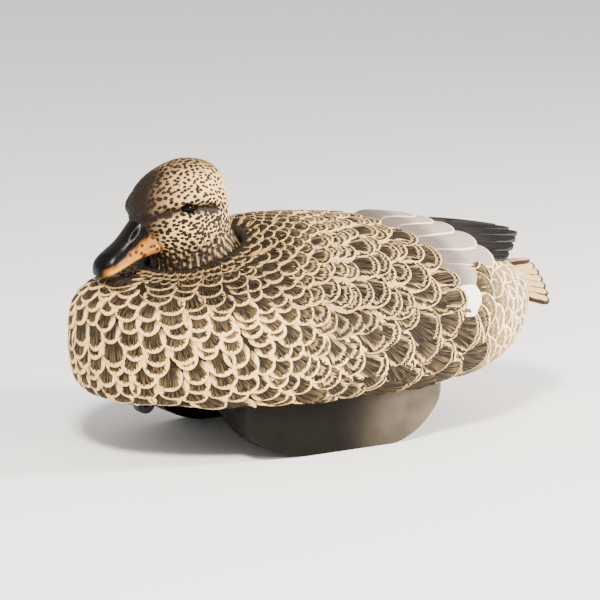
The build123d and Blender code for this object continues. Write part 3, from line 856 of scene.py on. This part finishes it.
def make_head():
    """The head and neck as one fine grid, sculpted over the CAD form."""
    surface = Surface("head_shell")
    rings, turns = 250, 380
    points, outs = [], []
    for polar in np.linspace(radians(0.6), radians(131.5), rings):
        for turn in np.linspace(0, 2 * np.pi, turns, endpoint=False):
            ring = SIDEWAYS * cos(turn) + NECK_REAR * sin(turn)
            away = NECK_AXIS * cos(polar) + ring * sin(polar)
            place, normal = surface.hit(HEAD_CENTRE + away * FAR, -away)
            points.append(place)
            outs.append(normal)
    points = np.array(points)
    outs = smooth_grid(np.array(outs), rings, turns, 3)
    spots, paint = head_paint(surface, points)
    points = points + outs * head_sculpt(points, spots)[:, None]
    faces = tube_faces(rings, turns, inverted=True)
    data = {"paint": np.column_stack([paint, np.ones(len(paint))])}
    piece = build_mesh("head_feathers", points, faces, head_material(), "head", data)
    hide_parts("head_shell")


def smooth_grid(values, rows, cols, times):
    """Evens out directions on a grid that is closed across its columns."""
    grid = values.reshape(rows, cols, -1)
    for _ in range(times):
        grid = (grid + np.roll(grid, 1, 1) + np.roll(grid, -1, 1)) / 3
        padded = np.concatenate([grid[:1], grid, grid[-1:]])
        grid = (padded[:-2] + padded[1:-1] + padded[2:]) / 3
    flat = grid.reshape(rows * cols, -1)
    return flat / norm(flat, axis=1, keepdims=True)


def neck_streaks(points):
    """Ragged upright streaks round the foot of the neck, between -1 and 1."""
    arm = points - NECK
    above = arm @ NECK_AXIS
    turn = np.arctan2(arm[:, 0], arm @ NECK_REAR)
    bend = 0.55 * np.sin(0.42 * above + 5 * turn) + 0.3 * np.sin(0.23 * above + 13 * turn)
    streaks = np.sin(37 * turn + 2.2 * bend) + 0.6 * np.sin(61 * turn - 3.0 * bend + 0.5 * above)
    return streaks / 1.6 * ramp(27, 14, above)


def head_darkness(points):
    """How dark the head's ground colour is, painted shade included: crown, forehead, eye line, nape and
    throat.
    """
    crown = ramp(176, 196, points[:, 2]) * ramp(13, 4, np.abs(points[:, 0]) * 0.55)
    forehead = near(points, FOREHEAD, 36) ** 0.55
    # the eye line, nape and throat are partly the decoy's dark paint and partly painted shade: in the
    # crease under the brow, at the neck's foot and under the chin
    eye_line = 1.5 * near_line(points, EYE_LINE, 5.6)
    nape = ramp(27, 7, (points - NECK) @ NECK_AXIS)
    throat = near(points, THROAT, 30)
    dark = 0.7 * crown + 1.3 * forehead + 0.8 * eye_line + 0.9 * nape + 0.75 * throat
    return np.clip(np.clip(dark, 0, 1) + 0.42 * neck_streaks(points), 0, 1)


def head_paint(surface, points):
    """How much each point is in a dark spot, and its spot, darkness and warmth for the paint."""
    places, flows, normals = spot_centres(surface)
    tree = KDTree(len(places))
    for i, place in enumerate(places):
        tree.insert(Vector(place), i)
    tree.balance()
    dark = head_darkness(points)
    cross = np.cross(flows, normals)
    widths = SPOT_WIDTH * (1 + 0.22 * rng.uniform(-1, 1, len(places)))
    spots = np.zeros(len(points))
    tight = 1 + 0.08 * ramp(174, 188, points[:, 2])
    for i, point in enumerate(points):
        best = 0.0
        for _, j, _ in tree.find_n(Vector(point), 3):
            arm = point - places[j]
            along, across = arm @ flows[j], arm @ cross[j]
            reach = ((along / SPOT_LENGTH) ** 2 + (across / widths[j]) ** 2) ** 0.5
            best = max(best, 1 - tight[i] * reach)
        spots[i] = best
    spots = ramp(-0.1, 0.5, spots + 0.22 * dark)
    warm = np.clip(ramp(-100, -135, points[:, 1]) * ramp(160, 180, points[:, 2]), 0, 1)
    return spots, np.column_stack([spots, dark, warm])


def head_material():
    """Cream ground with warm and cloudy stretches, dark shading and dark spots."""
    g = Graph("head_paint")
    spot, dark, warm = g.split(g.attribute("paint")["Vector"])
    grain = g.noise(700.0, 3.0)
    cream = g.mix(warm, (0.68, 0.43, 0.17), (0.42, 0.22, 0.075))
    cloudy = g.ramp(g.noise(48.0, 3.0), 0.35, 0.7)
    cream = g.mix(g.times(cloudy, 0.5), cream, (0.38, 0.25, 0.13))
    shade = g.mix(g.times(dark, 0.98), cream, (0.008, 0.0062, 0.005))
    edge = g.math("MULTIPLY_ADD", g.math("SUBTRACT", grain, 0.5), 0.5, spot)
    color = g.mix(g.ramp(edge, 0.35, 0.72), shade, (0.012, 0.0075, 0.0048))
    g.bump(grain, 0.5, 0.0005)
    return g.finish(color, g.math("MULTIPLY_ADD", grain, 0.2, 0.42), Specular_IOR_Level=0.1)


# ---------------- bill
# along the bill: y, z of its top, z of its seam, z of its underside, half width
BILL_LINE = [
    (-120.0, 170.0, 147.0, 138.0, 12.0),
    (-134.0, 168.5, 144.0, 136.0, 12.6),
    (-143.0, 163.0, 140.0, 134.0, 11.8),
    (-151.0, 153.5, 136.0, 131.0, 11.4),
    (-158.0, 146.4, 132.5, 128.0, 11.8),
    (-165.0, 141.2, 129.6, 125.2, 12.2),
    (-169.0, 138.2, 128.0, 123.8, 11.0),
    (-172.0, 135.2, 127.1, 123.6, 8.6),
    (-173.6, 131.4, 127.0, 124.6, 4.6),
]
# the nostril's place and half size: along the bill, and up its side
NOSTRIL = (0.42, 0.76)
NOSTRIL_HALF = (0.04, 0.07)


def catmull(knots, values, where):
    """A smooth curve through the rows of values at the knots."""
    slopes = np.gradient(values, knots, axis=0)
    j = np.clip(np.searchsorted(knots, where) - 1, 0, len(knots) - 2)
    gap = (knots[j + 1] - knots[j])[:, None]
    u = (where - knots[j])[:, None] / gap
    return (
        (2 * u**3 - 3 * u**2 + 1) * values[j] + (u**3 - 2 * u**2 + u) * gap * slopes[j]
        + (3 * u**2 - 2 * u**3) * values[j + 1] + (u**3 - u**2) * gap * slopes[j + 1]
    )


def bill_point(along, turn, y, top, seam, low, half):
    """A point of the bill's skin, and how much it lies on the nostril's pale edge."""
    c, s = cos(turn), sin(turn)
    hand = np.sign(c)
    upper = s > 0
    x = half * hand * abs(c) ** (0.82 if upper else 0.7)
    reach = top - seam if upper else seam - low
    z = seam + reach * np.sign(s) * abs(s) ** (1.0 if upper else 0.75)
    # the groove where the two halves of the bill meet
    x -= hand * 0.7 * np.exp(-((s + 0.02) / 0.07) ** 2) * (along > 0.12)
    # the nostril is a pit with a raised lip
    ahead = (along - NOSTRIL[0]) / NOSTRIL_HALF[0]
    rise = s - NOSTRIL[1]
    pit = np.exp(-(ahead**2) - (rise / NOSTRIL_HALF[1]) ** 2)
    lip = np.exp(-(ahead**2) * 0.3 - (rise / 0.18) ** 2)
    x += hand * (1.3 * lip - 3.0 * pit)
    # the nail at the bill's tip
    z += 0.9 * np.exp(-((y + 170) / 3.4) ** 2) * (np.exp(-(x / 4.2) ** 2)) * upper
    from_pit = np.hypot(ahead, rise / NOSTRIL_HALF[1])
    return (x, y, z), np.exp(-(((from_pit - 1.4) / 0.3) ** 2))


def make_bill():
    """The bill, with its seam, nostrils and nail."""
    line = np.array(BILL_LINE)
    rings, turns = 110, 120
    knots = np.linspace(0, 1, len(line)) ** 0.8
    fine = np.linspace(0, 1, rings) ** 0.8
    points, paint = [], []
    for along, section in zip(fine, catmull(knots, line, fine)):
        for turn in np.linspace(0, 2 * np.pi, turns, endpoint=False):
            point, ring = bill_point(along, turn, *section)
            points.append(point)
            paint.append((along, sin(turn), ring))
    faces = tube_faces(rings, turns)
    data = {"paint": np.column_stack([paint, np.ones(len(paint))])}
    piece = build_mesh("bill_shell", points, faces, bill_material(), "head", data)
    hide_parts("bill")


def bill_material():
    """Glossy black, with an orange side that has a few dark specks."""
    g = Graph("bill_paint")
    along, rise, ring = g.split(g.attribute("paint")["Vector"])
    cloud = g.noise(70.0, 3.0)
    spread = g.math("MULTIPLY_ADD", g.math("SUBTRACT", cloud, 0.5), 0.75, rise)
    side = g.times(g.ramp(spread, 0.42, 0.02), g.ramp(along, 0.97, 0.74))
    orange = g.mix(g.ramp(cloud, 0.3, 0.7), (0.4, 0.145, 0.018), (0.5, 0.21, 0.034))
    specks = g.node("ShaderNodeTexVoronoi")
    specks.inputs["Scale"].default_value = 190.0
    g.put(specks.inputs["Vector"], g.here())
    size = g.times(g.noise(60.0, 1.0), 0.55)
    speck = g.math("LESS_THAN", specks.outputs[0], size)
    orange = g.mix(g.times(speck, 0.9), orange, (0.025, 0.014, 0.01))
    black = g.mix(g.ramp(cloud, 0.4, 0.8), (0.0016, 0.0015, 0.0015), (0.006, 0.0045, 0.0037))
    color = g.mix(side, black, orange)
    color = g.mix(g.times(ring, 0.4), color, (0.05, 0.043, 0.036))
    fine = g.noise(420.0, 3.0)
    g.bump(fine, 0.25, 0.0004)
    return g.finish(color, g.math("MULTIPLY_ADD", fine, 0.16, 0.21), Specular_IOR_Level=0.09)


# ---------------- wings and tail
WING_TOP = 146.0  # height of the wings' ridge
WING_ARCH = 85.0  # radius of the wings' arch
# root x, y, tip x, y, half width, height over the wing's form
TERTIALS = [
    (78, 40, 65, 103, 9.8, 0.6),
    (64, 40, 50, 114, 9.8, 1.4),
    (51, 38, 36, 108, 9.8, 2.2),
    (36, 36, 22, 98, 9.8, 3.0),
    (22, 34, 11, 88, 9.5, 3.8),
    (8, 32, 4, 78, 9.0, 4.6),
]
PRIMARIES = [
    (50, 78, 40, 138, 7.5, -3.4),
    (43, 78, 31, 148, 7.5, -2.4),
    (35, 76, 22, 156, 7.5, -1.2),
    (26, 72, 14, 163, 7.5, 0.2),
    (17, 66, 8, 160, 7.0, 1.6),
]
# the white feathers that show under them: root x, y, z
SPECULUM = [(86, 36, 94), (85, 41, 99)]
# middle and edge of each kind of feather
WHITE_PAINT = ((0.86, 0.83, 0.77), (0.88, 0.84, 0.76))
BLACK_PAINT = ((0.0035, 0.0032, 0.003), (0.028, 0.023, 0.018))
GREY_PAINT = ((0.31, 0.25, 0.232), (0.84, 0.66, 0.42))
# the tail feathers' dark edge is partly their own outline and partly painted shade between the
# overlapping feathers
BUFF_PAINT = ((0.62, 0.4, 0.19), (0.03, 0.018, 0.01))


def wing_height(x, y):
    """Height of the wing's arched form."""
    reach = np.minimum(np.abs(x), WING_ARCH - 1)
    return WING_TOP - 0.14 * (y - 40) - (WING_ARCH - np.sqrt(WING_ARCH**2 - reach**2))


def body_top(body, x, y):
    place, _ = body.hit(np.array([x, y, FAR]), np.array([0.0, 0.0, -1.0]))
    return 0.0 if place is None else place[2]


def laid_on_wing(body, ends, raised, hand, droop=0.0):
    """A place function for a long feather on the arched wing, and the feather's length."""
    start, end = np.array(ends, float).reshape(2, 2)
    length = norm(end - start)
    along_dir = (end - start) / length
    across_dir = np.array([along_dir[1], -along_dir[0]])

    def place(across, along, height):
        flat = start + np.outer(along, along_dir) + np.outer(across, across_dir)
        x, y = flat[:, 0], flat[:, 1]
        tilt = np.arcsin(np.clip(x / WING_ARCH, -0.95, 0.95))
        rise = ramp(0.04, 0.34, along / length)
        lift = height * (0.3 + 0.7 * rise) + raised * rise - 2.2 * (1 - rise)
        gap = np.array([body_top(body, a, b) for a, b in zip(x, y)]) - wing_height(x, y)
        z = wing_height(x, y) + (gap + np.sqrt(gap**2 + 2)) / 2
        z += lift * np.cos(tilt) - droop * (along / length) ** 2
        return np.column_stack([(x + lift * np.sin(tilt)) * hand, y, z])

    return place, length


def make_wings():
    """Both folded wings: grey tertials over black primaries, and a white patch."""
    tertial = feather_paint("tertial_paint", streak_share=0.16, shine=0.5)
    primary = feather_paint("primary_paint", streak_share=0.5, shine=0.5)
    body = Surface("body_shell")
    for hand, name in ((1, "left"), (-1, "right")):
        grey, black = Feathers(14, 15), Feathers(14, 15)
        for root in SPECULUM:
            _, place = laid_tailward(body, root, hand)
            grey.add(place, *WHITE_PAINT, length=40, half_width=8.0, rim=1.2, lift=3.4,
                     sunk=-0.4, roundness=0.12, depth=2.4, root_share=0.8)
        for *ends, half, raised in PRIMARIES:
            place, length = laid_on_wing(body, ends, raised, hand, droop=2.0)
            black.add(place, *BLACK_PAINT, length, half, rim=0.6, lift=1.6, crown=1.4,
                      roundness=0.3, depth=2.6, root_share=0.9)
        for *ends, half, raised in TERTIALS:
            place, length = laid_on_wing(body, ends, raised, hand)
            grey.add(place, *GREY_PAINT, length, half, rim=1.2, lift=1.0, crown=0.7,
                     roundness=0.14, depth=2.4, root_share=0.95)
        piece = grey.build(f"{name}_tertials", tertial, "hull", "wing_feathers")
        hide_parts(f"{name}_wingtip")
        piece = black.build(f"{name}_primaries", primary, "hull", "wing_feathers")
        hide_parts(f"{name}_wingtip")


def tail_feather(u):
    """A tail feather's place function and its length; u is -1 to 1 from side to side."""
    root = np.array([17 * u, 138.0, 101 - 9 * abs(u)])
    tip = np.array([44 * u, 184 - 13 * u * u, 101.5 - 20 * abs(u) ** 1.1])
    length = norm(tip - root)
    along_dir = (tip - root) / length
    across_dir = unit(np.array([1.0, -0.2 * u, -0.42 * np.sign(u)]))
    up = unit(np.cross(across_dir, along_dir))
    raised = 1.6 * (1 - abs(u))

    def place(across, along, height):
        flat = root + np.outer(along, along_dir) + np.outer(across, across_dir)
        return flat + np.outer(height + raised, up)

    return place, length


def make_tail():
    """The fanned tail, from its outer feathers to the middle one on top."""
    feathers = Feathers(14, 15)
    number = 13
    middle = (number - 1) / 2
    for i in sorted(range(number), key=lambda i: -abs(i - middle)):
        place, length = tail_feather(i / middle - 1)
        feathers.add(place, *BUFF_PAINT, length, half_width=7.4, rim=1.6, lift=0.5, crown=0.9,
                     roundness=0.2, depth=2.2, root_share=0.7, ridge=0.2)
    material = feather_paint("tail_paint", streak_share=0.6)
    piece = feathers.build("tail_feathers", material, "hull", "tail_feathers")
    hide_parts("tail_fan")


# ---------------- plain parts
def plastic(name, color, pale, roughness, scuffs=0.35, metallic=0.0, gloss=0.2, painted_light_span=None):
    """Moulded plastic, rubber, foam or metal. A given span of y brings a pale painted light, which rises
    between its two ends.
    """
    g = Graph(name)
    cloud = g.ramp(g.noise(26.0, 4.0), 0.3, 0.75)
    base = g.mix(g.times(cloud, 0.6), color, pale)
    stretched = g.node("ShaderNodeMapping")
    stretched.inputs["Scale"].default_value = (60.0, 9.0, 160.0)
    g.put(stretched.inputs["Vector"], g.here())
    lines = g.ramp(g.noise(4.0, 5.0, stretched.outputs[0], 0.7), 0.6, 0.74)
    scuffed = tuple(min(1.0, c * 2.4 + 0.01) for c in color)
    base = g.mix(g.times(lines, scuffs), base, scuffed)
    if painted_light_span:
        # painted light: the colour grows paler between the span's two y
        place = g.split(g.here())
        painted_light = g.times(g.ramp(place[1], *painted_light_span), g.math("MULTIPLY_ADD", cloud, 0.3, 0.3))
        base = g.mix(painted_light, base, (0.21, 0.17, 0.125))
    grain = g.noise(1300.0, 2.0)
    g.bump(g.math("MULTIPLY_ADD", lines, -0.4, grain), 0.35, 0.00035)
    rough = g.math("MULTIPLY_ADD", cloud, 0.12, roughness)
    return g.finish(base, g.math("MULTIPLY_ADD", lines, 0.15, rough), Metallic=metallic,
                    Specular_IOR_Level=gloss)


def paint_nodes():
    black = plastic("fitting_black", (0.004, 0.004, 0.004), (0.009, 0.0085, 0.008), 0.36)
    # the keels are painted paler towards the tail, as painted light where their sterns are lit
    keel = plastic("keel_plastic", (0.0035, 0.0029, 0.0022), (0.0075, 0.0064, 0.0048), 0.4,
                   gloss=0.045, painted_light_span=(-0.03, 0.05))
    # the body's skin is near-black as painted shade, where it shows between and below the feathers
    skin = plastic("skin_gap_shade", (0.012, 0.009, 0.006), (0.022, 0.016, 0.01), 0.7, gloss=0.03)
    nylon = plastic("bearing_nylon", (0.6, 0.58, 0.52), (0.7, 0.68, 0.62), 0.4)
    foam = plastic("core_foam", (0.7, 0.68, 0.62), (0.8, 0.78, 0.72), 0.85)
    rubber = plastic("gasket_rubber", (0.02, 0.02, 0.02), (0.03, 0.03, 0.03), 0.7)
    steel = plastic("screw_steel", (0.5, 0.5, 0.5), (0.62, 0.61, 0.6), 0.3,
                    scuffs=0.3, metallic=1.0)
    iron = plastic("ballast_iron", (0.16, 0.15, 0.14), (0.24, 0.2, 0.17), 0.55,
                   scuffs=0.4, metallic=0.9)
    uses = (
        (keel, "left_keel right_keel belly_plate"),
        (black, "line_tie neck_socket"),
        (skin, "body_shell head_shell bill left_wingtip right_wingtip tail_fan"),
        (eye_material(), "left_eye right_eye"),
        (nylon, "neck_plug"),
        (foam, "foam_core"),
        (rubber, "belly_gasket"),
        (steel, "belly_screws keel_screws socket_screws line_tie_nut neck_bolt neck_washer neck_nut"),
        (iron, "left_ballast right_ballast"),
    )
    for paint, names in uses:
        for name in names.split():
            mesh = nodes[name].data
            for i in range(len(mesh.materials)):
                mesh.materials[i] = paint


make_floor()
make_light()
make_camera()
paint_nodes()
make_body_plumage()
make_head()
make_bill()
make_eyes()
make_wings()
make_tail()
